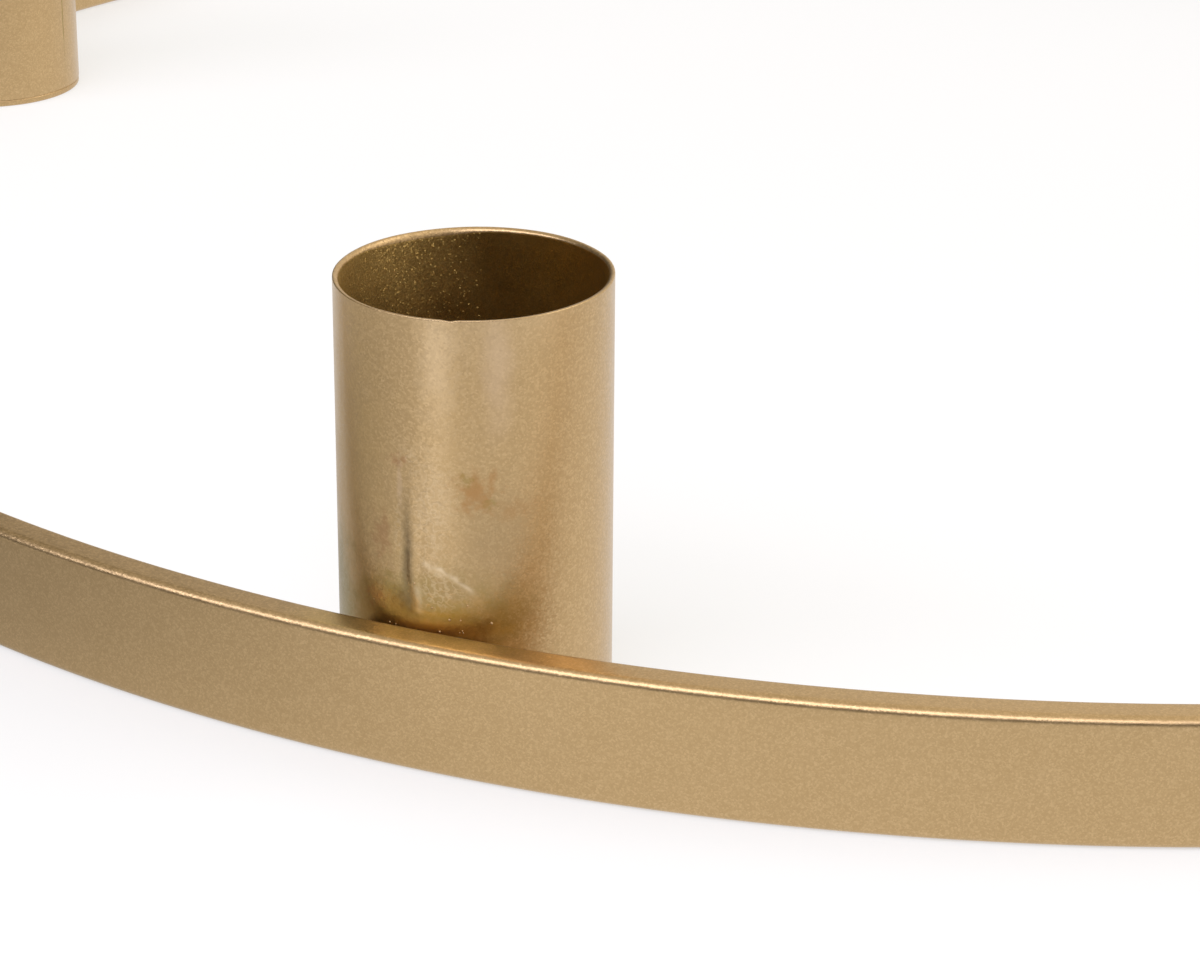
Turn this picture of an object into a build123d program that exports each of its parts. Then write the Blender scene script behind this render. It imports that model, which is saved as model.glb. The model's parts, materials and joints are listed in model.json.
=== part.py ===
from build123d import *

import os
from math import degrees, sqrt

# Candle ring: a flat bar rolled on edge into a hoop, with thin candle cups brazed to its inside.
# Millimetres and degrees. The hoop is centred on Z and stands on Z = 0; the first cup lies towards -Y.

# Hoop
ring_diameter = 320.0  # over the outside of the bar
bar_height = 12.0
bar_thickness = 3.5
bar_edge_radius = 0.8
roundest_edge = 0.45  # largest edge radius, as a part of the bar's thickness
butt_gap = 1.5  # between the bar's two ends, along its middle line
butt_angle = 135.0  # where the ends meet, from +X

# Candle cups
cup_count = 4
candle_bore = 23.0  # clears a 22 mm candle
sleeve_wall = 0.5
cup_height = 40.0  # base and sleeve together
base_thickness = 0.8
seam_gap = 0.4  # between the edges of the rolled sheet
seam_turn = -2.5  # seam, from the side of the cup nearest the bar

# Brazing between cup and bar
braze_film = 0.3  # where cup and bar are nearest
braze_hollow = 1.3  # radius of the hollow face at each end of the filler
braze_above_base = 0.7
braze_below_bar_top = 0.6

hoop_outer_radius = ring_diameter / 2
hoop_inner_radius = hoop_outer_radius - bar_thickness
hoop_middle_radius = hoop_outer_radius - bar_thickness / 2
bore_radius = candle_bore / 2
cup_radius = bore_radius + sleeve_wall
cup_reach = hoop_inner_radius - braze_film - cup_radius
sleeve_length = cup_height - base_thickness
cup_step = 360 / cup_count


def bar_stretch(start, sweep):
    """The rolled bar from the angle start, over sweep degrees."""
    corner = min(bar_edge_radius, roundest_edge * bar_thickness)
    section = Pos(hoop_middle_radius, bar_height / 2) * RectangleRounded(bar_thickness, bar_height, corner)
    return Rot(0, 0, start) * revolve(Plane.XZ * section, Axis.Z, sweep)


def sleeve_ring():
    """Section of the sleeve's wall as a whole ring."""
    return Circle(cup_radius) - Circle(bore_radius)


def seam_slot():
    """Strip through the sleeve's wall where the sheet's edges face each other."""
    strip = Pos(0, -bore_radius) * Rectangle(seam_gap, bore_radius)
    return Rot(0, 0, seam_turn) * strip


def cup_sleeve():
    """Sheet rolled to a tube, open along its seam, standing on the base."""
    return Pos(0, 0, base_thickness) * extrude(sleeve_ring() - seam_slot(), sleeve_length)


def cup_seam_weld():
    """Weld that fills the seam flush with the sleeve's wall."""
    return Pos(0, 0, base_thickness) * extrude(sleeve_ring() & seam_slot(), sleeve_length)


def cup_base():
    """Disc that closes the cup's bottom."""
    return extrude(Circle(cup_radius), base_thickness)


def mirrored(point):
    return Vector(-point.X, point.Y)


def braze_outline():
    """Filler between cup and bar, seen from above: two round walls, and a hollow face at each end."""
    cup_to_hollow = cup_radius + braze_hollow
    hoop_to_hollow = hoop_inner_radius - braze_hollow
    along = (cup_to_hollow**2 - hoop_to_hollow**2 + cup_reach**2) / (2 * cup_reach)
    hollow = Vector(sqrt(cup_to_hollow**2 - along**2), along)
    hoop_centre = Vector(0, cup_reach)
    on_cup = hollow * (cup_radius / cup_to_hollow)
    on_bar = hoop_centre + (hollow - hoop_centre) * (hoop_inner_radius / hoop_to_hollow)
    inward = ((on_cup - hollow) + (on_bar - hollow)).normalized()
    deepest = hollow + inward * braze_hollow
    cup_side = ThreePointArc(mirrored(on_cup), (0, -cup_radius), on_cup)
    right_end = ThreePointArc(on_cup, deepest, on_bar)
    bar_side = ThreePointArc(on_bar, (0, -cup_radius - braze_film), mirrored(on_bar))
    left_end = ThreePointArc(mirrored(on_bar), mirrored(deepest), mirrored(on_cup))
    return make_face([cup_side, right_end, bar_side, left_end])


def cup_braze():
    """Filler from just above the base to just below the bar's upper edge."""
    foot = base_thickness + braze_above_base
    return Pos(0, 0, foot) * extrude(braze_outline(), bar_height - braze_below_bar_top - foot)


def at_cup(piece, number):
    """A piece made round a cup's own axis, moved to that cup's place on the hoop."""
    return Rot(0, 0, number * cup_step) * Pos(0, -cup_reach, 0) * piece


butt_sweep = degrees(butt_gap / hoop_middle_radius)
nodes = {
    "ring_bar": bar_stretch(butt_angle + butt_sweep / 2, 360 - butt_sweep),
    "ring_butt_weld": bar_stretch(butt_angle - butt_sweep / 2, butt_sweep),
}
cup_pieces = {
    "cup_sleeve": cup_sleeve(),
    "cup_seam_weld": cup_seam_weld(),
    "cup_base": cup_base(),
    "cup_braze": cup_braze(),
}
for number in range(cup_count):
    for name, piece in cup_pieces.items():
        nodes[f"{name}_{number + 1}"] = at_cup(piece, number)

os.makedirs("parts", exist_ok=True)
for name, piece in nodes.items():
    export_step(piece, f"parts/{name}.step")
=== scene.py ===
import json
from math import cos, pi, radians, sin

import bpy
import numpy as np
from mathutils import Matrix, Vector, noise


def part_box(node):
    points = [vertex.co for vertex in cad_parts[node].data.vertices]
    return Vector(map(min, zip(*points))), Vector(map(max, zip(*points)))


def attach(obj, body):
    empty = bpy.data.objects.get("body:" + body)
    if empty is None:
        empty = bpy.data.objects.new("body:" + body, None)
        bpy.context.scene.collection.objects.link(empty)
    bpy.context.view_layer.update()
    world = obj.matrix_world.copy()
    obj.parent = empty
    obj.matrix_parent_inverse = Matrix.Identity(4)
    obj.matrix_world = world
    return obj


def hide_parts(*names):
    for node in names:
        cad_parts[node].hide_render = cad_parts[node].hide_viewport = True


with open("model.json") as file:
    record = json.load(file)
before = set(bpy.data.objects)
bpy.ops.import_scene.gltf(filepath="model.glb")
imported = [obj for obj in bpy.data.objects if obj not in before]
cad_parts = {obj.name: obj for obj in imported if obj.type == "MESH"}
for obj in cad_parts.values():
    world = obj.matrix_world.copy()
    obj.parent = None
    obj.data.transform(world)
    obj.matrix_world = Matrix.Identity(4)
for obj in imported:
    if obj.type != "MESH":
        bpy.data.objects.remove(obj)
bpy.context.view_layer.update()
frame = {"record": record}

# Hoop. A steel flat bar rolled on edge into a ring, with long edges that the mill left softly rounded.
# It is sprayed all over with satin gold paint, whose fine metal flake shows as a sandy sparkle. On top,
# beside each cup, the colour is lighter and yellower: painted light, for the light the top catches there.
mm = 0.001
hoop_diameter = 320 * mm
bar_thickness = 3.5 * mm
bar_edge_radius = 0.8 * mm
bar_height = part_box("ring_bar")[1].z
hoop_inner_radius = hoop_diameter / 2 - bar_thickness
hoop_middle_radius = hoop_diameter / 2 - bar_thickness / 2
butt_angle = radians(135)
butt_gap = 1.5 * mm
butt_sweep = butt_gap / hoop_middle_radius
bar_edge_steps = 8
bar_flat_step = 0.8 * mm
hoop_steps = 540
wave_length = 45 * mm
wave_height = 0.12 * mm
wave_detail = 1.0
sharp_angle = radians(50)
gold = (0.645, 0.448, 0.232, 1)
gold_between_flakes = (0.479, 0.318, 0.147, 1)
# Painted light: lighter, yellower colours for the bar's flat top beside each cup.
lit_top_gold = (0.80, 0.57, 0.26, 1)
lit_top_between_flakes = (0.60, 0.42, 0.165, 1)
lit_top_core = 6 * mm
lit_top_reach = 12 * mm
lit_top_edge = 0.08 * mm
flake_size = 0.14 * mm
flake_tilt = 0.09
flake_middle = (0.5, 0.5, 0.5)
flake_contrast = 2.0
standing_tilt = 0.45
spray_patch_size = 3.5 * mm
patch_share = 0.36
patch_detail = 3.0
peel_size = 0.6 * mm
peel_height = 0.004 * mm
peel_detail = 2.0
paint_roughness = 0.36
roughness_swing = 0.06
lacquer_weight = 0.22
lacquer_roughness = 0.2
noise_middle = 0.5


def node(tree, kind, feeds=(), **options):
    """A new node with its options set and its inputs fed with values or with other nodes' outputs."""
    made = tree.nodes.new(kind)
    for option, value in options.items():
        setattr(made, option, value)
    for socket, value in dict(feeds).items():
        if isinstance(value, bpy.types.NodeSocket):
            tree.links.new(value, made.inputs[socket])
        else:
            made.inputs[socket].default_value = value
    return made


def maths(tree, operation, first, second=0.0):
    """Output of a Math node."""
    return node(tree, "ShaderNodeMath", {0: first, 1: second}, operation=operation).outputs["Value"]


def vector_maths(tree, operation, first, second=(0, 0, 0)):
    """Output of a Vector Math node that takes two vectors."""
    return node(tree, "ShaderNodeVectorMath", {0: first, 1: second}, operation=operation).outputs["Vector"]


def vector_value(tree, operation, first, second=(0, 0, 0)):
    """Number from a Vector Math node, such as a length."""
    return node(tree, "ShaderNodeVectorMath", {0: first, 1: second}, operation=operation).outputs["Value"]


def scaled(tree, vector, factor):
    """Output of a Vector Math node that scales a vector."""
    made = node(tree, "ShaderNodeVectorMath", {0: vector, "Scale": factor}, operation="SCALE")
    return made.outputs["Vector"]


def faded(tree, value, start, end, low=0.0, high=1.0):
    """Smooth change from low to high while a value goes from start to end."""
    fade = node(
        tree,
        "ShaderNodeMapRange",
        {"Value": value, "From Min": start, "From Max": end, "To Min": low, "To Max": high},
        interpolation_type="SMOOTHSTEP",
    )
    return fade.outputs["Result"]


def clouds(tree, place, scale, detail):
    """Soft noise from 0 to 1."""
    made = node(tree, "ShaderNodeTexNoise", {"Vector": place, "Scale": scale, "Detail": detail})
    return made.outputs["Fac"]


def new_tree(name, kind, takes, gives):
    """A node group with named sockets; returns it with what it is given and what it gives."""
    tree = bpy.data.node_groups.new(name, kind)
    for socket, socket_kind in takes.items():
        tree.interface.new_socket(socket, in_out="INPUT", socket_type=f"NodeSocket{socket_kind}")
    for socket, socket_kind in gives.items():
        tree.interface.new_socket(socket, in_out="OUTPUT", socket_type=f"NodeSocket{socket_kind}")
    return tree, tree.nodes.new("NodeGroupInput").outputs, tree.nodes.new("NodeGroupOutput").inputs


def finish_tree(tree, geometry, paint, result):
    """Last nodes of a geometry tree: smooth, real and painted."""
    smooth = node(tree, "GeometryNodeSetShadeSmooth", {"Geometry": geometry})
    real = node(tree, "GeometryNodeRealizeInstances", {"Geometry": smooth.outputs["Geometry"]})
    painted = node(
        tree,
        "GeometryNodeSetMaterial",
        {"Geometry": real.outputs["Geometry"], "Material": paint},
    )
    tree.links.new(painted.outputs["Geometry"], result)


def rolled_bar_tree():
    """Rounded flat bar swept round part of a circle, with slight waves, and a bead across its middle."""
    tree, given, result = new_tree(
        "rolled_bar",
        "GeometryNodeTree",
        {
            "Middle Radius": "Float",
            "Height": "Float",
            "Thickness": "Float",
            "Edge Radius": "Float",
            "Edge Steps": "Int",
            "Flat Step": "Float",
            "Start": "Float",
            "Sweep": "Float",
            "Steps": "Int",
            "Wave Length": "Float",
            "Wave Height": "Float",
            "Bead Height": "Float",
            "Paint": "Material",
        },
        {"Bar": "Geometry"},
    )
    arc = node(
        tree,
        "GeometryNodeCurveArc",
        {
            "Resolution": given["Steps"],
            "Radius": given["Middle Radius"],
            "Start Angle": given["Start"],
            "Sweep Angle": given["Sweep"],
        },
        mode="RADIUS",
    )
    upright = node(tree, "GeometryNodeSetCurveNormal", {"Curve": arc.outputs["Curve"]}, mode="Z_UP")
    place = node(tree, "GeometryNodeInputPosition").outputs["Position"]
    along = node(
        tree,
        "GeometryNodeCaptureAttribute",
        {"Geometry": upright.outputs["Curve"]},
        domain="POINT",
    )
    along.capture_items.new("FLOAT", "Along")
    along.capture_items.new("FLOAT", "Wave")
    waves = clouds(tree, place, maths(tree, "DIVIDE", 1.0, given["Wave Length"]), wave_detail)
    tree.links.new(node(tree, "GeometryNodeSplineParameter").outputs["Factor"], along.inputs["Along"])
    tree.links.new(waves, along.inputs["Wave"])
    box = node(
        tree,
        "GeometryNodeCurvePrimitiveQuadrilateral",
        {"Width": given["Thickness"], "Height": given["Height"]},
        mode="RECTANGLE",
    )
    rounded = node(
        tree,
        "GeometryNodeFilletCurve",
        {"Curve": box.outputs["Curve"], "Count": given["Edge Steps"], "Radius": given["Edge Radius"]},
        mode="POLY",
    )
    number = node(tree, "GeometryNodeInputIndex").outputs["Index"]
    points = node(tree, "GeometryNodeSplineLength").outputs["Point Count"]
    following = maths(tree, "MODULO", maths(tree, "ADD", number, 1.0), points)
    next_place = node(
        tree,
        "GeometryNodeFieldAtIndex",
        {"Index": following, "Value": place},
        data_type="FLOAT_VECTOR",
    )
    span = vector_value(tree, "DISTANCE", place, next_place.outputs["Value"])
    cuts = maths(tree, "FLOOR", maths(tree, "DIVIDE", span, given["Flat Step"]))
    section = node(tree, "GeometryNodeSubdivideCurve", {"Curve": rounded.outputs["Curve"], "Cuts": cuts})
    swept = node(
        tree,
        "GeometryNodeCurveToMesh",
        {
            "Curve": along.outputs["Geometry"],
            "Profile Curve": section.outputs["Curve"],
            "Fill Caps": True,
        },
    )
    from_axis = vector_maths(tree, "NORMALIZE", vector_maths(tree, "MULTIPLY", place, (1, 1, 0)))
    centred = maths(tree, "SUBTRACT", along.outputs["Wave"], noise_middle)
    wave = scaled(tree, from_axis, maths(tree, "MULTIPLY", centred, given["Wave Height"]))
    swell = maths(tree, "SINE", maths(tree, "MULTIPLY", along.outputs["Along"], pi))
    facing = node(tree, "GeometryNodeInputNormal").outputs["Normal"]
    level_facing = vector_maths(tree, "MULTIPLY", facing, (1, 1, 0))
    bead = scaled(tree, level_facing, maths(tree, "MULTIPLY", swell, given["Bead Height"]))
    shaped = node(
        tree,
        "GeometryNodeSetPosition",
        {"Geometry": swept.outputs["Mesh"], "Offset": vector_maths(tree, "ADD", wave, bead)},
    )
    half_height = maths(tree, "DIVIDE", given["Height"], 2.0)
    lift = node(tree, "ShaderNodeCombineXYZ", {"Z": half_height})
    standing = node(
        tree,
        "GeometryNodeTransform",
        {"Geometry": shaped.outputs["Geometry"], "Translation": lift.outputs["Vector"]},
    )
    finish_tree(tree, standing.outputs["Geometry"], given["Paint"], result["Bar"])
    return tree


def built(name, tree, sizes):
    """Plain mesh object of what a geometry tree makes from these sizes."""
    piece = bpy.data.objects.new(name, bpy.data.meshes.new(name))
    bpy.context.scene.collection.objects.link(piece)
    maker = piece.modifiers.new(name, "NODES")
    maker.node_group = tree
    for item in tree.interface.items_tree:
        if item.in_out == "INPUT":
            maker[item.identifier] = sizes[item.name]
    seen = piece.evaluated_get(bpy.context.evaluated_depsgraph_get())
    mesh = bpy.data.meshes.new_from_object(seen)
    piece.modifiers.remove(maker)
    mesh.name = name
    mesh.set_sharp_from_angle(angle=sharp_angle)
    piece.data = mesh
    return piece


def metal_flake_group():
    """Metal flake in the paint: each flake is lighter or darker and lies tilted, and a few face up."""
    tree, given, result = new_tree(
        "metal_flake",
        "ShaderNodeTree",
        {
            "Place": "Vector",
            "Normal": "Vector",
            "Flake Size": "Float",
            "Tilt": "Float",
            "Standing Share": "Float",
            "Standing Tilt": "Float",
        },
        {"Shade": "Float", "Normal": "Vector"},
    )
    flakes = node(
        tree,
        "ShaderNodeTexVoronoi",
        {"Vector": given["Place"], "Scale": maths(tree, "DIVIDE", 1.0, given["Flake Size"])},
    )
    channels = node(tree, "ShaderNodeSeparateColor", {"Color": flakes.outputs["Color"]}).outputs
    off_middle = vector_maths(tree, "SUBTRACT", flakes.outputs["Color"], flake_middle)
    lean = scaled(tree, off_middle, given["Tilt"])
    stands = maths(tree, "LESS_THAN", channels["Blue"], given["Standing Share"])
    uprightness = maths(tree, "MULTIPLY", channels["Green"], given["Standing Tilt"])
    standing = node(tree, "ShaderNodeCombineXYZ", {"Z": maths(tree, "MULTIPLY", stands, uprightness)})
    leaning = vector_maths(tree, "ADD", lean, standing.outputs["Vector"])
    tilted = vector_maths(tree, "NORMALIZE", vector_maths(tree, "ADD", given["Normal"], leaning))
    tree.links.new(maths(tree, "POWER", channels["Red"], flake_contrast), result["Shade"])
    tree.links.new(tilted, result["Normal"])
    return tree


def spray_coat_group():
    """Uneven spray coat: soft patches where the paint lies thicker, and the fine skin of orange peel."""
    tree, given, result = new_tree(
        "spray_coat",
        "ShaderNodeTree",
        {"Place": "Vector", "Patch Size": "Float", "Peel Size": "Float"},
        {"Patch": "Float", "Peel": "Float"},
    )
    for output, detail in (("Patch", patch_detail), ("Peel", peel_detail)):
        scale = maths(tree, "DIVIDE", 1.0, given[f"{output} Size"])
        tree.links.new(clouds(tree, given["Place"], scale, detail), result[output])
    return tree


metal_flake = metal_flake_group()
spray_coat = spray_coat_group()


def new_material(name):
    """An empty material; returns it with its tree and its shader."""
    made = bpy.data.materials.new(name)
    made.use_nodes = True
    return made, made.node_tree, made.node_tree.nodes["Principled BSDF"]


def blended(tree, factor, first, second):
    """Colour that goes from the first to the second with the factor."""
    mix = node(tree, "ShaderNodeMix", {"Factor": factor, "A": first, "B": second}, data_type="RGBA")
    return mix.outputs["Result"]


def ranged(tree, value, low, high):
    """A value from 0 to 1, spread between low and high."""
    spread = node(tree, "ShaderNodeMapRange", {"Value": value, "To Min": low, "To Max": high})
    return spread.outputs["Result"]


def sprayed(tree, light, dark, rough, swing, size=flake_size, tilt=flake_tilt, standing=0.0):
    """Satin gold paint: outputs for its colour, its roughness, its flake's normal and its peel."""
    place = node(tree, "ShaderNodeTexCoord").outputs["Object"]
    flake = node(
        tree,
        "ShaderNodeGroup",
        {
            "Place": place,
            "Normal": node(tree, "ShaderNodeNewGeometry").outputs["Normal"],
            "Flake Size": size,
            "Tilt": tilt,
            "Standing Share": standing,
            "Standing Tilt": standing_tilt,
        },
        node_tree=metal_flake,
    ).outputs
    spray = node(
        tree,
        "ShaderNodeGroup",
        {"Place": place, "Patch Size": spray_patch_size, "Peel Size": peel_size},
        node_tree=spray_coat,
    ).outputs
    shade = node(tree, "ShaderNodeMix", {"Factor": patch_share, "A": flake["Shade"], "B": spray["Patch"]})
    colour = blended(tree, shade.outputs["Result"], dark, light)
    roughness = ranged(tree, spray["Patch"], rough - swing, rough + swing)
    return colour, roughness, flake["Normal"], spray["Peel"]


def coat(tree, shader, colour, roughness, normal, peel, height):
    """Feeds a paint's outputs into its shader, with the peel raised by the given height."""
    skin = node(tree, "ShaderNodeBump", {"Height": peel, "Distance": height, "Normal": normal})
    tree.links.new(colour, shader.inputs["Base Color"])
    tree.links.new(roughness, shader.inputs["Roughness"])
    tree.links.new(skin.outputs["Normal"], shader.inputs["Normal"])
    shader.inputs["Metallic"].default_value = 1.0
    shader.inputs["Coat Weight"].default_value = lacquer_weight
    shader.inputs["Coat Roughness"].default_value = lacquer_roughness


bar_paint, bar_tree, bar_shader = new_material("gold_paint_on_bar")
bar_place = node(bar_tree, "ShaderNodeTexCoord").outputs["Object"]
bar_axes = node(bar_tree, "ShaderNodeSeparateXYZ", {"Vector": bar_place}).outputs
# The cups lie on the X and Y axes, so the smaller of the two is how far along the bar the next cup is.
from_cup = maths(
    bar_tree,
    "MINIMUM",
    maths(bar_tree, "ABSOLUTE", bar_axes["X"]),
    maths(bar_tree, "ABSOLUTE", bar_axes["Y"]),
)
# Painted light: the flat top of the bar beside each cup is made lighter and yellower.
beside_cup = faded(bar_tree, from_cup, lit_top_reach, lit_top_core)
on_top = faded(bar_tree, bar_axes["Z"], bar_height - lit_top_edge, bar_height)
lit_top = maths(bar_tree, "MULTIPLY", beside_cup, on_top)
bar_coat = sprayed(
    bar_tree,
    blended(bar_tree, lit_top, gold, lit_top_gold),
    blended(bar_tree, lit_top, gold_between_flakes, lit_top_between_flakes),
    paint_roughness,
    roughness_swing,
)
coat(bar_tree, bar_shader, *bar_coat, peel_height)
rolled_bar = rolled_bar_tree()
bar_sizes = {
    "Middle Radius": hoop_middle_radius,
    "Height": bar_height,
    "Thickness": bar_thickness,
    "Edge Radius": bar_edge_radius,
    "Edge Steps": bar_edge_steps,
    "Flat Step": bar_flat_step,
    "Start": butt_angle + butt_sweep / 2,
    "Sweep": 2 * pi - butt_sweep,
    "Steps": hoop_steps,
    "Wave Length": wave_length,
    "Wave Height": wave_height,
    "Bead Height": 0.0,
    "Paint": bar_paint,
}
hoop_bar = built("hoop_bar", rolled_bar, bar_sizes)
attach(hoop_bar, "root")
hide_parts("ring_bar")

# Butt weld. The bar's two ends are joined by a weld that was dressed nearly flush and painted over,
# so that only a low, slightly rough band is left across the bar.
weld_crown = 0.06 * mm
weld_roughness = 0.5
weld_peel_height = 0.03 * mm
weld_steps = 13

weld_paint, weld_tree, weld_shader = new_material("gold_paint_on_weld")
weld_coat = sprayed(weld_tree, gold, gold_between_flakes, weld_roughness, roughness_swing)
coat(weld_tree, weld_shader, *weld_coat, weld_peel_height)
weld_sizes = bar_sizes | {
    "Start": butt_angle - butt_sweep / 2,
    "Sweep": butt_sweep,
    "Steps": weld_steps,
    "Bead Height": weld_crown,
    "Paint": weld_paint,
}
butt_weld = built("hoop_butt_weld", rolled_bar, weld_sizes)
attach(butt_weld, "root")
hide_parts("ring_butt_weld")

# Cup bases. A disc of steel sheet closes the bottom of each candle cup and carries the candle.
# It is punched out, so its edges are slightly rounded, and it is fixed and painted with the cup.
cups = {
    int(mount["name"].rsplit("_", 1)[1]): mount
    for mount in frame["record"]["mounts"]
    if mount["name"].startswith("candle_cup_")
}
base_low, base_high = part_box("cup_base_1")
base_thickness = base_high.z - base_low.z
cup_radius = (base_high.x - base_low.x) / 2
base_edge_radius = 0.2 * mm
base_edge_steps = 6
base_round_steps = 96
base_ring_step = 1 * mm
base_roughness = 0.46


def new_piece(name, spots, faces, paint):
    """A smooth mesh object from its corners and faces, with its sharp edges kept."""
    mesh = bpy.data.meshes.new(name)
    mesh.from_pydata(spots, [], faces)
    mesh.materials.append(paint)
    mesh.shade_smooth()
    mesh.set_sharp_from_angle(angle=sharp_angle)
    piece = bpy.data.objects.new(name, mesh)
    bpy.context.scene.collection.objects.link(piece)
    return piece


def on_cup(cup, arc, radius, height):
    """Places round a cup's axis; the arc is measured on its outside, from the side nearest the bar."""
    across, away, _ = cups[cup]["pos_m"]
    turn = np.arctan2(away, across) + arc / cup_radius
    return np.stack((across + radius * np.cos(turn), away + radius * np.sin(turn), height), axis=-1)


def base_profile():
    """Radius and height of a base's section, from the middle of its underside to the middle of its top."""
    rings = np.arange(base_ring_step, cup_radius - base_edge_radius, base_ring_step)
    turn = np.linspace(-pi / 2, 0, base_edge_steps)
    corner_radius = cup_radius - base_edge_radius * (1 - np.cos(turn))
    corner_height = base_edge_radius * (1 + np.sin(turn))
    radius = np.concatenate((rings, corner_radius, corner_radius[::-1], rings[::-1]))
    low_half = np.concatenate((np.zeros(len(rings)), corner_height))
    return radius, np.concatenate((low_half, base_thickness - low_half[::-1]))


def turned(name, cup, radius, height, paint):
    """A turned piece on a cup's axis, closed with one point at each end of its profile."""
    arcs = np.linspace(0, 2 * pi * cup_radius, base_round_steps, endpoint=False)
    spots = [on_cup(cup, 0.0, 0.0, height[0]), on_cup(cup, 0.0, 0.0, height[-1])]
    first = len(spots) + np.arange(base_round_steps)
    sides = list(zip(first, np.roll(first, -1)))
    for ring_radius, ring_height in zip(radius, height):
        spots.extend(on_cup(cup, arcs, ring_radius, np.full(len(arcs), ring_height)))
    last = (len(radius) - 1) * base_round_steps
    faces = [(0, after, before) for before, after in sides]
    for ring in range(0, last, base_round_steps):
        above = ring + base_round_steps
        faces += [(before + ring, after + ring, after + above, before + above) for before, after in sides]
    faces += [(1, before + last, after + last) for before, after in sides]
    return new_piece(name, spots, faces, paint)


base_paint, base_tree, base_shader = new_material("gold_paint_on_base")
base_coat = sprayed(base_tree, gold, gold_between_flakes, base_roughness, roughness_swing)
coat(base_tree, base_shader, *base_coat, peel_height)
for cup in cups:
    base = turned(f"candle_cup_base_{cup}", cup, *base_profile(), base_paint)
    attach(base, "root")
    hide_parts(f"cup_base_{cup}")

# Cup sleeves. Each candle cup is thin steel sheet rolled to a tube, its seam turned to the bar and its rim
# cut a little out of square and filed round. The torch that brazed it on left the sheet creased along the
# lower seam, smeared with filler beside it and browned above the bar, and the paint shows all of that.
# Besides the torch marks, the cup's colour carries painted light: painted shade in the crease and low at
# its left edge, painted highlights on ridges, bubble rims and high on the wall, a painted reflection tint
# over its left side, and a bore painted lighter on one side.
bore_radius = cups[1]["dims"]["r_mm"] * mm
sleeve_wall = cup_radius - bore_radius
cup_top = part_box("cup_sleeve_1")[1].z
rim_peak = 0.8
rim_inner_drop = 0.3 * mm
rim_outer_drop = 0.06 * mm
rim_uneven = 0.4
rim_slant = 0.2 * mm
rim_band = 1.6 * mm
rim_edge = 0.05 * mm
rim_low_turn = {1: radians(-25), 2: radians(200), 3: radians(-40), 4: radians(130)}
rim_filed_drop = 0.3 * mm
rim_filed_spread = 0.1
rim_filed_turn = {1: radians(231), 2: radians(80), 3: radians(300), 4: radians(165)}
rim_nick_depth = 0.09 * mm
rim_nick_half_width = 0.5 * mm
rim_nick_turn = {1: radians(16), 2: radians(-70), 3: radians(140), 4: radians(48)}
seam_arc = radians(-2.5) * cup_radius
seam_half_gap = 0.2 * mm
marked_from = radians(-40) * cup_radius
marked_to = radians(46) * cup_radius
marked_low = bar_height - 0.6 * mm
marked_high = 29 * mm
fine_step = 0.16 * mm
coarse_step = 0.9 * mm
# Shares of the sheet's thickness, from the bore outwards.
wall_stops = np.array((0, 0.03, 0.1, 0.22, 0.4, 0.6, rim_peak, 0.9, 0.97, 1))
# Lobes, swing and phase of each wave in a cup's roundness.
round_waves = ((2, 0.05 * mm, 0.6), (5, 0.018 * mm, 2.1), (9, 0.012 * mm, 4.0))
crease_low = 12.6 * mm
crease_high = 25 * mm
crease_end = 4 * mm
crease_deepest = 18 * mm
crease_run = 3.4 * mm
crease_faintest = 0.15
crease_offset = -0.45 * mm
crease_depth = 0.16 * mm
crease_half_width = 0.6 * mm
crease_wander = 0.14 * mm
crease_wander_length = 3 * mm
crease_slant = 0.75 * mm
crease_slant_run = 2.6 * mm
shadow_offset = 0.2 * mm
shadow_half_width = 0.64 * mm
shadow_middle = 17.2 * mm
shadow_run = 5.4 * mm
shadow_break = 0.5
lip_height = 0.13 * mm
lip_half_width = 0.5 * mm
lip_offset = 0.85 * mm
fan_start = 0.82 * mm
fan_reach = 4.3 * mm
fan_top = 17.8 * mm
fan_slope = 0.169
fan_bend = 0.0869 / mm
fan_height = 0.035 * mm
fan_fade = 0.6 * mm
fan_edge = 0.018 * mm
fan_edge_width = 0.26 * mm
fan_side_width = 0.42 * mm
fan_edge_wander = 0.2 * mm
fan_edge_break = 0.7 * mm
fan_seed = 5
ridge_mean = 0.66
ridge_break = 0.6
side_share = 0.55
fold_reach = 1.8 * mm
fold_slope = 0.3
fold_share = 0.7
fan_side = 0.57 * mm
fan_side_top = 15.8 * mm
fan_foot = 13.2 * mm
# Painted light in the bore: lighter on the wall that faces this turn, near the mouth, and darker elsewhere.
bore_lit_turn = radians(-95)
bore_lit_edge = 0.68
bore_lit_fade = 0.6
bore_lit_depth = 12 * mm
bubble_size = 0.5 * mm
bubble_height = 0.035 * mm
bubble_seed = 9
# Arc, height, half width and half height of each patch where the paint lies bubbled.
bubble_patches = (
    (-0.5 * mm, 27.0 * mm, 0.8 * mm, 0.9 * mm),
    (-1.5 * mm, 20.5 * mm, 0.35 * mm, 2.4 * mm),
    (1.6 * mm, 22.0 * mm, 2.2 * mm, 5.5 * mm),
    (2.4 * mm, 15.4 * mm, 2.0 * mm, 1.6 * mm),
)
ragged_detail = 3.0
mark_spread = {1: 1.0, 2: 0.85, 3: -0.95, 4: 1.12}
mark_rise = {1: 1.0, 2: 1.12, 3: 0.9, 4: 0.96}


def stops(places, steps):
    """Places along a line, from each given place to the next in about the given step."""
    runs = [
        np.linspace(start, end, max(1, round((end - start) / step)), endpoint=False)
        for start, end, step in zip(places, places[1:], steps)
    ]
    return np.concatenate((*runs, places[-1:]))


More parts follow.
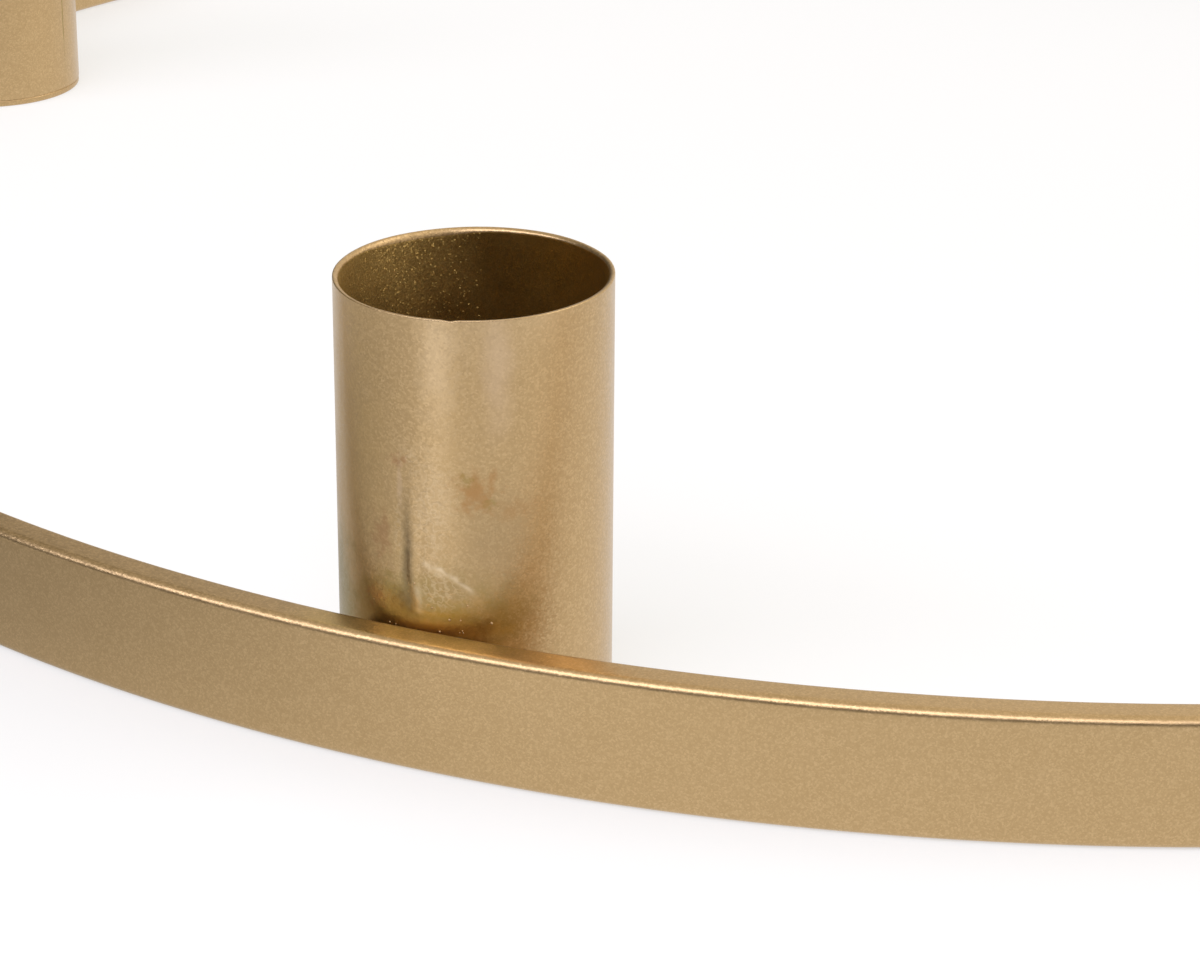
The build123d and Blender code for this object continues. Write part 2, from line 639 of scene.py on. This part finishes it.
def closed_block(name, place, along, up, through, paint):
    """A closed piece with six sides, whose grid of stops place() bends into shape."""
    grid = np.meshgrid(along, up, through, indexing="ij")
    skin = np.ones(grid[0].shape, bool)
    skin[1:-1, 1:-1, 1:-1] = False
    number = np.full(skin.shape, -1)
    number[skin] = np.arange(skin.sum())
    sides = (
        number[:, :, 0],
        number[:, ::-1, -1],
        number[:, 0, ::-1],
        number[:, -1, :],
        number[0],
        number[-1, ::-1],
    )
    faces = [
        np.stack((side[:-1, :-1], side[:-1, 1:], side[1:, 1:], side[1:, :-1]), axis=-1).reshape(-1, 4)
        for side in sides
    ]
    spots, layers = place(*(axis[skin] for axis in grid))
    piece = new_piece(name, spots, np.concatenate(faces), paint)
    for layer_name, values in layers.items():
        layer = piece.data.attributes.new(layer_name, "FLOAT_VECTOR", "POINT")
        layer.data.foreach_set("vector", np.stack(values, axis=-1).astype(np.float32).ravel())
    return piece


def hump(value, middle, reach):
    """Soft bump: 1 in the middle, fading out over the reach."""
    return np.exp(-(((value - middle) / reach) ** 2))


def step_up(value, edge, fade):
    """0 below the edge and 1 above it, with a smooth change over the fade."""
    part = np.clip((value - edge) / fade + 0.5, 0, 1)
    return part * part * (3 - 2 * part)


def lumps(arc, height, size, seed):
    """Noise from -1 to 1 over a cup's wall, with lumps of about the given size."""
    spots = zip(arc / size, height / size)
    return np.array([noise.noise(Vector((across, up, seed))) for across, up in spots])


def mark_places(cup, arc, height):
    """Where a cup's wall lies on the plan of the torch marks, which differ a little from cup to cup."""
    wrapped = (arc + pi * cup_radius) % (2 * pi * cup_radius) - pi * cup_radius
    spread = seam_arc + (wrapped - seam_arc) * mark_spread[cup]
    risen = bar_height + (height - bar_height) / mark_rise[cup]
    return spread, risen


def torch_relief(cup, arc, height):
    """Torch marks on a cup's outside: how far they stand out, how pale their ridges are painted as
    highlights, how dark the crease is painted as shade, and how bubbled they are.
    """
    arc, height = mark_places(cup, arc, height)
    wander = crease_wander * lumps(0 * height, height, crease_wander_length, cup)
    slant = crease_slant * hump(height, crease_low, crease_slant_run)
    off_crease = arc - seam_arc - crease_offset - wander - slant
    run = step_up(height, crease_low, crease_end) * (1 - step_up(height, crease_high, crease_end))
    strength = run * (crease_faintest + (1 - crease_faintest) * hump(height, crease_deepest, crease_run))
    relief = -crease_depth * strength * hump(off_crease, 0, crease_half_width)
    relief += lip_height * strength * hump(off_crease, lip_offset, lip_half_width)
    broken = lumps(arc, height, fan_edge_break, cup + fan_seed)
    # Painted shade along the crease: how dark its colour is made.
    shadow = run * hump(height, shadow_middle, shadow_run) * (1 + shadow_break * broken)
    dark = shadow * hump(off_crease, shadow_offset, shadow_half_width)
    ahead = arc - fan_start
    edge = fan_top - fan_slope * ahead - fan_bend * ahead**2 + fan_edge_wander * broken
    beside = step_up(ahead, 0, fan_fade) * (1 - step_up(ahead, fan_reach, 2 * fan_fade))
    under = 1 - step_up(height, edge, 2 * fan_edge_width)
    above_foot = step_up(height, fan_foot, fan_fade)
    side = fan_side * (fan_top - height) / (fan_top - fan_foot)
    upper_ridge = beside * hump(height, edge, fan_edge_width)
    short = step_up(ahead, 0, fan_fade) * (1 - step_up(ahead, fold_reach, 2 * fan_fade))
    fold = fold_share * short * hump(height, edge - fold_slope * ahead, fan_edge_width)
    below_top = 1 - step_up(height, fan_side_top, fan_fade)
    left_ridge = side_share * above_foot * below_top * hump(arc, side, fan_side_width)
    # The ridges stand out a little and are also painted pale as highlights.
    ridges = np.maximum(upper_ridge, fold) + left_ridge
    ridges = np.minimum(ridges, 1) * np.clip(ridge_mean + ridge_break * broken, 0, 1)
    relief += fan_height * beside * under * above_foot + fan_edge * ridges
    patch = sum(
        hump(arc, middle, reach) * hump(height, level, rise)
        for middle, level, reach, rise in bubble_patches
    )
    bubbled = np.minimum(patch, 1)
    relief += bubble_height * bubbled * lumps(arc, height, bubble_size, cup + bubble_seed)
    return relief, (ridges, dark, bubbled)


def quarter_round(share):
    """How far a rounded edge has dropped, from 0 where it starts to 1 at its end."""
    return 1 - np.sqrt(1 - np.clip(share, 0, 1) ** 2)


def cup_wall(cup):
    """Places, torch-mark places and painted light of a cup's wall for its arc, its height and how far out
    in the sheet.
    """

    def place(arc, height, out):
        radius = bore_radius + sleeve_wall * out
        for lobes, swing, phase in round_waves:
            radius = radius + swing * np.cos(lobes * arc / cup_radius + phase + cup)
        # Painted light: highlights on the ridges, shade in the crease, and where the paint is bubbled.
        painted_tones = np.zeros((3, len(arc)))
        near = (out > 0) & (height > marked_low) & (height < marked_high + coarse_step)
        relief, painted_tones[:, near] = torch_relief(cup, arc[near], height[near])
        radius[near] += relief * out[near]
        around = arc / cup_radius
        lowest = np.cos(around - rim_low_turn[cup])
        filed = np.cos(around - rim_filed_turn[cup])
        inner_drop = rim_inner_drop * (1 + rim_uneven * filed)
        inner_drop = inner_drop + rim_filed_drop * hump(filed, 1, rim_filed_spread)
        inward = inner_drop * quarter_round((rim_peak - out) / rim_peak)
        outward = rim_outer_drop * quarter_round((out - rim_peak) / (1 - rim_peak))
        nick = rim_nick_depth * hump(arc, rim_nick_turn[cup] % (2 * pi) * cup_radius, rim_nick_half_width)
        slant = rim_slant * (1 + lowest) / 2
        near_rim = np.clip((height - cup_top) / rim_band + 1, 0, 1)
        level = height - near_rim * (inward + outward + nick + slant)
        # Painted light: the bore is painted lighter where its wall faces the bright side of the room, near
        # the mouth.
        facing = np.cos(around - bore_lit_turn)
        spray = step_up(facing, bore_lit_edge, bore_lit_fade) * hump(height, cup_top, bore_lit_depth)
        spread, risen = mark_places(cup, arc, height)
        layers = {
            "mark_place": (spread, risen, out),
            "painted_light_tone": painted_tones,
            "bore_painted_light": (spray * (1 - out),) * 3,
        }
        return on_cup(cup, arc, radius, level), layers

    return place


def torch_mark_group():
    """A ragged soft patch on a cup's wall, from its middle and reach on the plan of the torch marks."""
    tree, given, result = new_tree(
        "torch_mark",
        "ShaderNodeTree",
        {
            "Plan": "Vector",
            "Place": "Vector",
            "Middle": "Vector",
            "Reach": "Vector",
            "Softness": "Float",
            "Raggedness": "Float",
            "Ragged Size": "Float",
        },
        {"Mask": "Float"},
    )
    from_middle = vector_maths(tree, "SUBTRACT", given["Plan"], given["Middle"])
    share = vector_maths(tree, "DIVIDE", from_middle, given["Reach"])
    distance = vector_value(tree, "LENGTH", share)
    scale = maths(tree, "DIVIDE", 1.0, given["Ragged Size"])
    cloud = clouds(tree, given["Place"], scale, ragged_detail)
    centred = maths(tree, "SUBTRACT", cloud, noise_middle)
    ragged = maths(tree, "MULTIPLY", centred, given["Raggedness"])
    full_from = maths(tree, "SUBTRACT", 1.0, given["Softness"])
    mask = faded(tree, maths(tree, "ADD", distance, ragged), 1.0, full_from)
    tree.links.new(mask, result["Mask"])
    return tree


torch_mark = torch_mark_group()
outside_only = 0.4
rim_paint_from = 0.02
cup_flake_size = 0.17 * mm
bore_flake_size = 0.11 * mm
bore_flake_tilt = 0.27
bore_standing_share = 0.2
bore_dryness = 0.16
# Lit and shaded colours of the bore: painted light.
bore_lit_gold = (0.78, 0.54, 0.21, 1)
bore_lit_between_flakes = (0.50, 0.33, 0.105, 1)
bore_shaded_gold = (0.56, 0.37, 0.115, 1)
bore_shaded_between = (0.43, 0.28, 0.075, 1)
heat_brown_and_shade = (0.318, 0.232, 0.064, 1)
flux_brown = (0.20, 0.115, 0.03, 1)
foot_brown_and_light = (0.54, 0.34, 0.105, 1)
# Dim brown for patches on the wall right of the seam, above the bar.
dim_brown = (0.30, 0.205, 0.105, 1)
stain_brown = (0.44, 0.235, 0.085, 1)
mottle_red = (0.40, 0.19, 0.085, 1)
pale_smear_and_highlight = (0.70, 0.51, 0.30, 1)
left_reflection_gold = (0.61, 0.403, 0.155, 1)
pale_pink_and_highlight = (0.68, 0.49, 0.31, 1)
ridge_highlight = (0.78, 0.60, 0.38, 1)
# Painted shade for the crease.
crease_shade = (0.21, 0.155, 0.075, 1)
crease_shade_strength = 0.55
bubble_line_size = 0.6 * mm
bubble_line_width = 0.08
bubble_line_strength = 0.36
bubble_line_rise = 2.0
bubble_line_detail = 1.0
# Colour, arc, height, half width, half height, softness, raggedness, size of the ragged edge, strength.
# Some marks are painted light: the warm gold over the left side is a painted reflection, the heat brown at
# the left edge (-10.5) is painted shade, the foot brown lightens the shaded foot as painted light, and the
# pale marks high on the wall are painted highlights.
cup_marks = (
    (left_reflection_gold, -10.0, 24.0, 11.0, 28.0, 1.0, 0.5, 2.0, 0.70),
    (heat_brown_and_shade, -10.5, 10.5, 6.0, 11.5, 0.8, 0.8, 2.0, 0.95),
    (pale_smear_and_highlight, 1.8, 24.0, 2.4, 7.0, 0.9, 1.4, 1.2, 0.32),
    (pale_smear_and_highlight, 7.0, 41.0, 11.0, 7.0, 1.0, 0.5, 2.0, 0.35),
    (pale_pink_and_highlight, 7.4, 36.0, 2.0, 9.0, 1.0, 0.7, 2.0, 0.60),
    (pale_smear_and_highlight, 2.3, 36.5, 2.8, 9.0, 1.0, 0.9, 1.5, 0.65),
    (dim_brown, 7.2, 20.5, 4.6, 8.5, 1.0, 0.8, 2.0, 0.32),
    (dim_brown, 3.6, 15.0, 4.4, 3.6, 1.0, 0.8, 1.5, 0.30),
    (stain_brown, 8.6, 22.9, 2.8, 1.3, 1.0, 1.8, 0.9, 0.40),
    (stain_brown, 5.5, 24.7, 2.3, 2.5, 0.9, 2.0, 0.9, 0.85),
    (heat_brown_and_shade, 4.7, 25.7, 1.0, 0.9, 1.0, 2.8, 0.45, 0.45),
    (heat_brown_and_shade, 6.6, 23.5, 0.9, 0.6, 1.0, 2.8, 0.4, 0.45),
    (heat_brown_and_shade, 7.5, 13.5, 4.5, 4.5, 1.0, 0.7, 2.0, 0.55),
    (mottle_red, -3.2, 19.6, 1.4, 3.0, 0.9, 2.2, 0.8, 0.40),
    (mottle_red, -1.4, 26.8, 1.1, 0.8, 1.0, 2.4, 0.5, 0.50),
    (pale_pink_and_highlight, -1.25, 24.4, 0.4, 2.8, 0.8, 1.2, 0.5, 0.50),
    (heat_brown_and_shade, 0.0, 11.0, 12.0, 8.0, 0.9, 0.8, 2.0, 0.85),
    (heat_brown_and_shade, -2.4, 13.6, 3.2, 3.2, 0.8, 1.4, 1.0, 0.50),
    (heat_brown_and_shade, 3.0, 12.0, 4.0, 2.3, 0.8, 1.4, 1.0, 0.55),
    (foot_brown_and_light, 2.5, 11.9, 9.0, 1.1, 0.8, 0.8, 0.8, 0.80),
    (flux_brown, -0.9, 14.0, 1.9, 2.0, 0.9, 1.4, 0.6, 0.70),
    (mottle_red, -3.8, 13.6, 1.8, 1.5, 1.0, 2.4, 0.5, 0.45),
    (flux_brown, 6.2, 12.2, 1.1, 1.0, 0.7, 1.3, 0.6, 0.40),
)


def marked(tree, colour, marks):
    """A colour with torch marks, some of them painted light, laid over it one after the other."""
    plan = node(tree, "ShaderNodeAttribute", attribute_name="mark_place").outputs["Vector"]
    place = node(tree, "ShaderNodeTexCoord").outputs["Object"]
    for tint, arc, height, half_width, half_height, softness, raggedness, size, strength in marks:
        mask = node(
            tree,
            "ShaderNodeGroup",
            {
                "Plan": plan,
                "Place": place,
                "Middle": (arc * mm, height * mm, 1),
                "Reach": (half_width * mm, half_height * mm, outside_only),
                "Softness": softness,
                "Raggedness": raggedness,
                "Ragged Size": size * mm,
            },
            node_tree=torch_mark,
        ).outputs["Mask"]
        colour = blended(tree, maths(tree, "MULTIPLY", mask, strength), colour, tint)
    return colour


def bubble_lines(tree, bubbled):
    """Fine outlines of bubbles in the paint, where it lies bubbled; they are raised a little and painted
    pale as highlights.
    """
    place = node(tree, "ShaderNodeTexCoord").outputs["Object"]
    cloud = clouds(tree, place, 1 / bubble_line_size, bubble_line_detail)
    centred = maths(tree, "SUBTRACT", cloud, noise_middle)
    line = node(
        tree,
        "ShaderNodeMapRange",
        {"Value": maths(tree, "ABSOLUTE", centred), "From Min": bubble_line_width, "From Max": 0.0},
    )
    return maths(tree, "MULTIPLY", line.outputs["Result"], bubbled)


cup_paint, cup_tree, cup_shader = new_material("gold_paint_on_cup")
cup_plan = node(cup_tree, "ShaderNodeAttribute", attribute_name="mark_place").outputs["Vector"]
in_sheet = node(cup_tree, "ShaderNodeSeparateXYZ", {"Vector": cup_plan}).outputs["Z"]
outside = maths(cup_tree, "GREATER_THAN", in_sheet, rim_paint_from)
# Painted light in the bore: lighter on its lit side near the mouth, darker elsewhere.
bore_painted_light = node(cup_tree, "ShaderNodeAttribute", attribute_name="bore_painted_light").outputs["Fac"]
bore_light = blended(cup_tree, bore_painted_light, bore_shaded_gold, bore_lit_gold)
bore_dark = blended(cup_tree, bore_painted_light, bore_shaded_between, bore_lit_between_flakes)
cup_colour, cup_roughness, cup_normal, cup_peel = sprayed(
    cup_tree,
    blended(cup_tree, outside, bore_light, gold),
    blended(cup_tree, outside, bore_dark, gold_between_flakes),
    paint_roughness,
    roughness_swing,
    ranged(cup_tree, outside, bore_flake_size, cup_flake_size),
    ranged(cup_tree, bore_painted_light, flake_tilt, bore_flake_tilt),
    ranged(cup_tree, bore_painted_light, 0.0, bore_standing_share),
)
cup_painted_light = node(cup_tree, "ShaderNodeAttribute", attribute_name="painted_light_tone").outputs["Vector"]
painted_tones = node(cup_tree, "ShaderNodeSeparateXYZ", {"Vector": cup_painted_light}).outputs
bubbles = bubble_lines(cup_tree, painted_tones["Z"])
bubble_highlight_share = maths(cup_tree, "MULTIPLY", bubbles, bubble_line_strength)
crease_shade_share = maths(cup_tree, "MULTIPLY", painted_tones["Y"], crease_shade_strength)
cup_colour = marked(cup_tree, cup_colour, cup_marks)
# Painted highlights: pale bubble rims and pale fan ridges.
cup_colour = blended(cup_tree, bubble_highlight_share, cup_colour, ridge_highlight)
cup_colour = blended(cup_tree, painted_tones["X"], cup_colour, ridge_highlight)
# Painted shade darkens the crease.
cup_colour = blended(cup_tree, crease_shade_share, cup_colour, crease_shade)
bubble_rise = maths(cup_tree, "MULTIPLY", bubbles, bubble_line_rise)
cup_peel = maths(cup_tree, "ADD", cup_peel, bubble_rise)
dryness = maths(cup_tree, "MULTIPLY", bore_painted_light, bore_dryness)
cup_roughness = maths(cup_tree, "ADD", cup_roughness, dryness)
coat(cup_tree, cup_shader, cup_colour, cup_roughness, cup_normal, cup_peel, peel_height)
sleeve_arcs = stops(
    (
        seam_arc + seam_half_gap,
        marked_to,
        marked_from + 2 * pi * cup_radius,
        seam_arc - seam_half_gap + 2 * pi * cup_radius,
    ),
    (fine_step, coarse_step, fine_step),
)
sleeve_heights = stops(
    (base_thickness, marked_low, marked_high, cup_top - rim_band, cup_top - rim_edge, cup_top),
    (coarse_step, fine_step, coarse_step, rim_band, rim_edge),
)
for cup in cups:
    sleeve = closed_block(
        f"candle_cup_sleeve_{cup}", cup_wall(cup), sleeve_arcs, sleeve_heights, wall_stops, cup_paint
    )
    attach(sleeve, "root")
    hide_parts(f"cup_sleeve_{cup}")

# Seam welds. A thin weld closes the gap between the edges of each rolled sheet, flush with the sleeve.
# It is painted over with the cup, and shows only where the torch creased it.
seam_stops = 5
seam_arcs = seam_arc + seam_half_gap * np.linspace(-1, 1, seam_stops)
for cup in cups:
    seam = closed_block(
        f"candle_cup_seam_{cup}", cup_wall(cup), seam_arcs, sleeve_heights, wall_stops, cup_paint
    )
    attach(seam, "root")
    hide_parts(f"cup_seam_weld_{cup}")

# Brazing. Brass filler, run in with a torch between each cup and the inside of the bar, joins the two.
# Its top is hollow like a water line and its ends draw in; heat browned it, and the paint is thin on it.
braze_low, braze_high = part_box("cup_braze_1")
braze_half_length = (braze_high.x - braze_low.x) / 2
braze_wrap = radians(35.7) * cup_radius
braze_end_hollow = 0.75 * mm
braze_top_hollow = 0.35 * mm
braze_end_drop = 1.6 * mm
braze_ripple = 0.12 * mm
braze_ripple_size = 1.1 * mm
braze_ripple_across = 4 * mm
braze_ripple_seed = 3
braze_end_power = 9
braze_drop_power = 4
braze_step = 0.25 * mm
braze_height_step = 1 * mm
braze_out_stops = 9
braze_gold = (0.40, 0.23, 0.08, 1)
braze_dark = (0.22, 0.115, 0.035, 1)
braze_roughness = 0.5
braze_swing = 0.16
braze_peel_height = 0.05 * mm


def braze_fill(cup):
    """Places of a braze's filler for its arc on the cup, its height and how far out towards the bar."""
    reach = np.hypot(*cups[cup]["pos_m"][:2])

    def place(arc, height, out):
        aside = arc / braze_wrap
        on_wall = np.stack((cup_radius * np.sin(arc / cup_radius), cup_radius * np.cos(arc / cup_radius)))
        bar_aside = aside * braze_half_length
        on_bar = np.stack((bar_aside, np.sqrt(hoop_inner_radius**2 - bar_aside**2) - reach))
        hollow = 1 - (2 * out - 1) ** 2
        side, ahead = on_wall * (1 - out) + on_bar * out
        side = side - braze_end_hollow * hollow * np.sign(aside) * np.abs(aside) ** braze_end_power
        ripple_place = out * braze_ripple_across + cup
        ripple = lumps(arc, ripple_place, braze_ripple_size, cup + braze_ripple_seed)
        upper = (height - braze_low.z) / (braze_high.z - braze_low.z)
        sunk = braze_top_hollow * hollow + braze_end_drop * aside**braze_drop_power
        sunk = sunk + braze_ripple * (1 + ripple) / 2
        level = height - sunk * (2 * upper - 1)
        angle = np.arctan2(side, ahead)
        return on_cup(cup, angle * cup_radius, np.hypot(side, ahead), level), {}

    return place


braze_paint, braze_tree, braze_shader = new_material("browned_braze")
braze_coat = sprayed(braze_tree, braze_gold, braze_dark, braze_roughness, braze_swing)
coat(braze_tree, braze_shader, *braze_coat, braze_peel_height)
for cup in cups:
    braze = closed_block(
        f"candle_cup_braze_{cup}",
        braze_fill(cup),
        stops((-braze_wrap, braze_wrap), (braze_step,)),
        stops((braze_low.z, braze_high.z), (braze_height_step,)),
        np.linspace(0, 1, braze_out_stops),
        braze_paint,
    )
    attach(braze, "root")
    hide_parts(f"cup_braze_{cup}")

# Spatter. Small drops of filler that the torch threw on the cup's wall, just above the brazing.
# They stuck where they fell and were painted over.
spatter_count = 16
spatter_low = bar_height - 0.4 * mm
spatter_high = bar_height + 4.5 * mm
spatter_smallest = 0.05 * mm
spatter_largest = 0.13 * mm
spatter_seed = 11
spatter_gather = 3.0
drop_subdivisions = 2


def random_value(tree, low, high, seed):
    """Output of a Random Value node between two limits."""
    return node(tree, "FunctionNodeRandomValue", {"Min": low, "Max": high, "Seed": seed}).outputs["Value"]


def spatter_tree():
    """Drops scattered over the part of a cup's wall that faces the bar, thickest near its foot."""
    tree, given, result = new_tree(
        "spatter",
        "GeometryNodeTree",
        {
            "Cup Place": "Vector",
            "Turn": "Float",
            "Wall Radius": "Float",
            "Half Spread": "Float",
            "Low": "Float",
            "High": "Float",
            "Count": "Int",
            "Smallest": "Float",
            "Largest": "Float",
            "Seed": "Int",
            "Paint": "Material",
        },
        {"Drops": "Geometry"},
    )
    seeds = [maths(tree, "ADD", given["Seed"], shift) for shift in (0.0, 1.0, 2.0)]
    backward = maths(tree, "MULTIPLY", given["Half Spread"], -1.0)
    angle = maths(tree, "ADD", given["Turn"], random_value(tree, backward, given["Half Spread"], seeds[0]))
    share = maths(tree, "POWER", random_value(tree, 0.0, 1.0, seeds[1]), spatter_gather)
    spot = node(
        tree,
        "ShaderNodeCombineXYZ",
        {
            "X": maths(tree, "MULTIPLY", maths(tree, "COSINE", angle), given["Wall Radius"]),
            "Y": maths(tree, "MULTIPLY", maths(tree, "SINE", angle), given["Wall Radius"]),
            "Z": ranged(tree, share, given["Low"], given["High"]),
        },
    )
    on_wall = vector_maths(tree, "ADD", given["Cup Place"], spot.outputs["Vector"])
    places = node(tree, "GeometryNodePoints", {"Count": given["Count"], "Position": on_wall})
    drop = node(tree, "GeometryNodeMeshIcoSphere", {"Radius": 1.0, "Subdivisions": drop_subdivisions})
    drops = node(
        tree,
        "GeometryNodeInstanceOnPoints",
        {
            "Points": places.outputs["Points"],
            "Instance": drop.outputs["Mesh"],
            "Scale": random_value(tree, given["Smallest"], given["Largest"], seeds[2]),
        },
    )
    finish_tree(tree, drops.outputs["Instances"], given["Paint"], result["Drops"])
    return tree


spatter_drops = spatter_tree()
for cup, mount in cups.items():
    across, away, _ = mount["pos_m"]
    spatter = built(
        f"candle_cup_spatter_{cup}",
        spatter_drops,
        {
            "Cup Place": (across, away, 0.0),
            "Turn": float(np.arctan2(away, across)),
            "Wall Radius": cup_radius,
            "Half Spread": braze_wrap / cup_radius,
            "Low": spatter_low,
            "High": spatter_high,
            "Count": spatter_count,
            "Smallest": spatter_smallest,
            "Largest": spatter_largest,
            "Seed": spatter_seed * cup,
            "Paint": weld_paint,
        },
    )
    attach(spatter, "root")

# Table. The ring stands on a plain white table top, under a large soft lamp in front and above.
# The room is pale, and dark screens stand round the table in front and on the left, out of the picture:
# the metal shows them as its darker sides.
table_half = 6.0
table_drop = 0.05 * mm
table_white = (0.93, 0.93, 0.93, 1)
table_roughness = 0.9
table_lift = 0.55
metal_lift = 0.4
# As the metal mirrors it, the table is shaded left of the cup, dark in front and bright in a pool between.
shade_middle = (-0.078, -0.167, 0.0)
shade_reach = 0.105
shade_depth = 0.52
front_end = -0.36
front_fade = 0.08
front_depth = 0.9
pool_middle = (-0.004, -0.25, 0.0)
pool_reach = (0.03, 0.09, 1.0)
pool_gain = 0.6
room_pale = (0.95, 0.895, 0.78, 1)
screen_distance = 5.0
black = (0, 0, 0, 1)
white = (1, 1, 1, 1)
screen_cover = 0.92
open_side = (0.707, 0.707, 0.5)
open_from = 0.08
open_to = 0.68
open_top = 0.8
top_from = 0.5
top_to = 0.95
# Name, place, aim, width, height, watts and colour of each lamp.
lamps = (
    ("front_lamp", (-0.3, -0.9, 0.82), (-0.3, -0.15, 0), 1.9, 0.5, 11.0, (0.97, 0.98, 1.16)),
    ("right_lamp", (0.88, 0.26, 0.78), (0, -0.15, 0), 0.6, 0.6, 3.2, (1, 1, 1)),
)

scene = bpy.context.scene
table_mesh = bpy.data.meshes.new("table_top")
table_corners = ((-1, -1), (1, -1), (1, 1), (-1, 1))
table_spots = [(x * table_half, y * table_half, -table_drop) for x, y in table_corners]
table_mesh.from_pydata(table_spots, [], [(0, 1, 2, 3)])
table = bpy.data.objects.new("table_top", table_mesh)
scene.collection.objects.link(table)

table_paint, table_tree, table_shader = new_material("white_table")
table_mesh.materials.append(table_paint)
rays = node(table_tree, "ShaderNodeLightPath").outputs
shown = maths(table_tree, "MAXIMUM", rays["Is Camera Ray"], rays["Is Glossy Ray"])
shown = maths(table_tree, "MAXIMUM", shown, rays["Is Transmission Ray"])
table_place = node(table_tree, "ShaderNodeTexCoord").outputs["Object"]
off_shade = vector_value(table_tree, "DISTANCE", table_place, shade_middle)
shade = faded(table_tree, off_shade, shade_reach, 0.0, high=shade_depth)
table_axes = node(table_tree, "ShaderNodeSeparateXYZ", {"Vector": table_place}).outputs
front = faded(table_tree, table_axes["Y"], front_end, front_end - front_fade, high=front_depth)
darkest = maths(table_tree, "MAXIMUM", shade, front)
shade_in_metal = maths(table_tree, "MULTIPLY", darkest, rays["Is Glossy Ray"])
from_pool = vector_maths(table_tree, "SUBTRACT", table_place, pool_middle)
pool_share = vector_maths(table_tree, "DIVIDE", from_pool, pool_reach)
off_pool = vector_value(table_tree, "LENGTH", pool_share)
pool = faded(table_tree, off_pool, 1.0, 0.0, 1.0, 1.0 + pool_gain)
table_colour = blended(table_tree, shade_in_metal, table_white, black)
lift_colour = blended(table_tree, shade_in_metal, white, black)
table_shader.inputs["Roughness"].default_value = table_roughness
table_shader.inputs["Specular IOR Level"].default_value = 0.0
table_tree.links.new(table_colour, table_shader.inputs["Base Color"])
white_lift = node(table_tree, "ShaderNodeEmission", {"Color": lift_colour, "Strength": pool})
lift_share = maths(
    table_tree,
    "ADD",
    maths(table_tree, "MULTIPLY", shown, table_lift),
    maths(table_tree, "MULTIPLY", rays["Is Glossy Ray"], metal_lift),
)
lifted = node(
    table_tree,
    "ShaderNodeMixShader",
    {0: lift_share, 1: table_shader.outputs["BSDF"], 2: white_lift.outputs["Emission"]},
)
below = node(table_tree, "ShaderNodeNewGeometry").outputs["Backfacing"]
unseen = node(table_tree, "ShaderNodeBsdfTransparent")
one_sided = node(table_tree, "ShaderNodeMixShader", {0: below, 1: lifted.outputs[0], 2: unseen.outputs[0]})
table_tree.links.new(one_sided.outputs[0], table_tree.nodes["Material Output"].inputs["Surface"])

screen_mesh = bpy.data.meshes.new("dark_screens")
screen_corners = [
    (x * screen_distance, y * screen_distance, z * screen_distance)
    for z in (-1, 1)
    for x, y in table_corners
]
screen_faces = ((3, 2, 1, 0), (4, 5, 6, 7), (0, 1, 5, 4), (1, 2, 6, 5), (2, 3, 7, 6), (3, 0, 4, 7))
screen_mesh.from_pydata(screen_corners, [], screen_faces)
screens = bpy.data.objects.new("dark_screens", screen_mesh)
scene.collection.objects.link(screens)
screens.visible_camera = False

screen_cloth, screen_tree, screen_shader = new_material("dark_cloth")
screen_mesh.materials.append(screen_cloth)
screen_place = node(screen_tree, "ShaderNodeTexCoord").outputs["Object"]
direction = vector_maths(screen_tree, "NORMALIZE", screen_place)
towards = vector_value(screen_tree, "DOT_PRODUCT", direction, open_side)
side = faded(screen_tree, towards, open_from, open_to)
upward = node(screen_tree, "ShaderNodeSeparateXYZ", {"Vector": direction}).outputs["Z"]
top = faded(screen_tree, upward, top_from, top_to, high=open_top)
opening = maths(screen_tree, "MAXIMUM", side, top)
cover = ranged(screen_tree, opening, screen_cover, 0.0)
screen_tree.links.new(cover, screen_shader.inputs["Alpha"])
screen_shader.inputs["Base Color"].default_value = black
screen_shader.inputs["Specular IOR Level"].default_value = 0.0

room = bpy.data.worlds.new("room")
room.use_nodes = True
scene.world = room
room.node_tree.nodes["Background"].inputs["Color"].default_value = room_pale

for lamp_name, lamp_place, lamp_aim, lamp_width, lamp_height, lamp_watts, lamp_colour in lamps:
    lamp_data = bpy.data.lights.new(lamp_name, "AREA")
    lamp_data.shape = "RECTANGLE"
    lamp_data.size = lamp_width
    lamp_data.size_y = lamp_height
    lamp_data.energy = lamp_watts
    lamp_data.color = lamp_colour
    lamp = bpy.data.objects.new(lamp_name, lamp_data)
    scene.collection.objects.link(lamp)
    lamp.location = lamp_place
    lamp_line = Vector(lamp_aim) - Vector(lamp_place)
    lamp.rotation_euler = lamp_line.to_track_quat("-Z", "Y").to_euler()
scene.view_settings.view_transform = "Standard"

# Camera. It looks down on the first cup from outside the hoop, close by and through a long lens,
# so that the picture holds this cup and a stretch of the bar.
camera_place = Vector((0.128731, -0.407195, 0.142947))
camera_azimuth = radians(23.954)
camera_elevation = radians(22.651)
camera_roll = radians(0.415)
lens_mm = 109.305
sensor_mm = 36

camera_data = bpy.data.cameras.new("camera")
camera_data.sensor_width = sensor_mm
camera_data.lens = lens_mm
camera = bpy.data.objects.new("camera", camera_data)
scene.collection.objects.link(camera)
level_back = Vector((sin(camera_azimuth), -cos(camera_azimuth), 0)) * cos(camera_elevation)
backward = level_back + Vector((0, 0, sin(camera_elevation)))
level_right = Vector((cos(camera_azimuth), sin(camera_azimuth), 0))
level_up = backward.cross(level_right)
right = level_right * cos(camera_roll) + level_up * sin(camera_roll)
turn = Matrix((right, backward.cross(right), backward)).transposed()
camera.matrix_world = Matrix.Translation(camera_place) @ turn.to_4x4()
scene.camera = camera
